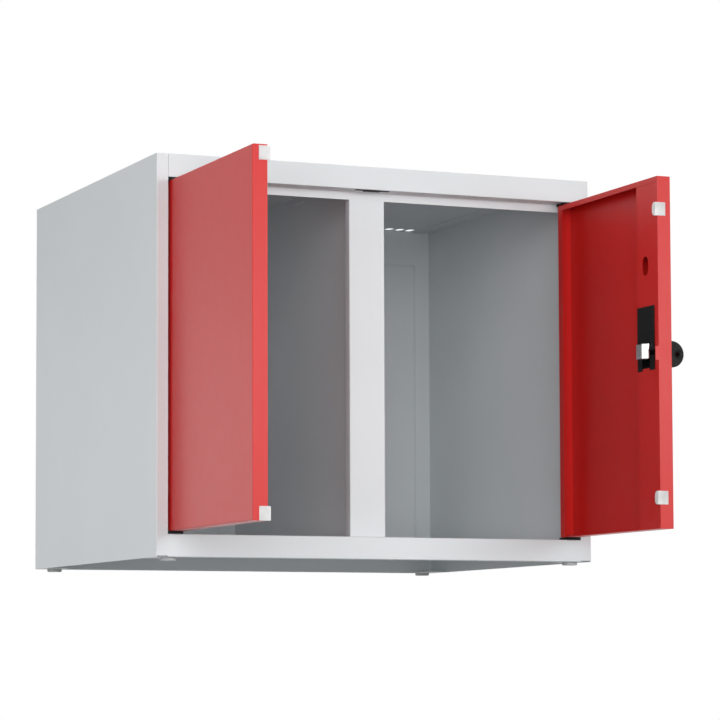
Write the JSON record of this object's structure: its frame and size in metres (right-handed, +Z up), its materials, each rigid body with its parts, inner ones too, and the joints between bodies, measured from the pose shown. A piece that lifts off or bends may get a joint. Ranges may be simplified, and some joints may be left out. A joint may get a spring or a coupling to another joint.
{
  "type": "stacking cabinet",
  "caption": "Sheet-steel stacking cabinet with a partition, ceiling vents, open hinged pan doors with buffers, a turn-knob lock that drives a sliding bolt, and low feet.",
  "frame": {"origin": "centre of the body in plan, on the plane the feet stand on", "axes": "+Z up, -Y out of the front, +X to the right seen from the front"},
  "size_m": [0.611, 0.7798, 0.504],
  "materials": {
    "cabinet_paint": "fine powder coat, satin",
    "door_paint": "fine powder coat, satin",
    "black_plastic": "moulded, matte",
    "buffer_plastic": "moulded, soft white",
    "foot_plastic": "moulded, light grey",
    "bush_nylon": "black nylon",
    "zinc_steel": "zinc plated",
    "bolt_chrome": "bright plated"
  },
  "bodies": {
    "cabinet": {"left_side_panel": "cabinet_paint", "right_side_panel": "cabinet_paint", "top_panel": "cabinet_paint", "bottom_panel": "cabinet_paint", "back_panel": "cabinet_paint", "divider_post": "cabinet_paint", "partition_wall": "cabinet_paint", "door_catch": "black_plastic", "foot_front_left": "foot_plastic", "foot_front_right": "foot_plastic", "foot_rear_left": "foot_plastic", "foot_rear_right": "foot_plastic", "hinge_block_left_top": "black_plastic", "hinge_pin_left_top": "zinc_steel", "hinge_block_left_bottom": "black_plastic", "hinge_pin_left_bottom": "zinc_steel", "hinge_block_right_top": "black_plastic", "hinge_pin_right_top": "zinc_steel", "hinge_block_right_bottom": "black_plastic", "hinge_pin_right_bottom": "zinc_steel"},
    "left_door": {"left_door_panel": "door_paint", "left_door_stile": "door_paint", "left_hinge_bush_top": "bush_nylon", "left_buffer_top": "buffer_plastic", "left_hinge_bush_bottom": "bush_nylon", "left_buffer_bottom": "buffer_plastic"},
    "right_door": {"right_door_panel": "door_paint", "right_door_stile": "door_paint", "right_hinge_bush_top": "bush_nylon", "right_buffer_top": "buffer_plastic", "right_hinge_bush_bottom": "bush_nylon", "right_buffer_bottom": "buffer_plastic", "lock_case": "black_plastic", "lock_rosette": "black_plastic"},
    "lock_turn": {"lock_knob": "black_plastic", "lock_spindle": "zinc_steel", "lock_pinion": "black_plastic"},
    "lock_bolt": {"lock_bolt": "bolt_chrome"}
  },
  "joints": [
    {"name": "left_door_swing", "type": "hinge", "parent": "cabinet", "child": "left_door", "pos_m": [-0.276, -0.241, 0.2535], "axis": [0, 0, -1], "range_deg": [-90, 10]},
    {"name": "right_door_swing", "type": "hinge", "parent": "cabinet", "child": "right_door", "pos_m": [0.276, -0.241, 0.2535], "axis": [0, 0, 1], "range_deg": [-90, 10]},
    {"name": "lock_knob_turn", "type": "hinge", "parent": "right_door", "child": "lock_turn", "pos_m": [0.29, -0.4715, 0.2535], "axis": [1, 0, 0], "range_deg": [0, 90]},
    {"name": "lock_bolt_throw", "type": "slide", "parent": "right_door", "child": "lock_bolt", "axis": [0, -1, 0], "range_m": [0, 0.022]}
  ],
  "couplings": [
    {"joint": "lock_bolt_throw", "follows": "lock_knob_turn", "m_per_rad": 0.014006}
  ]
}
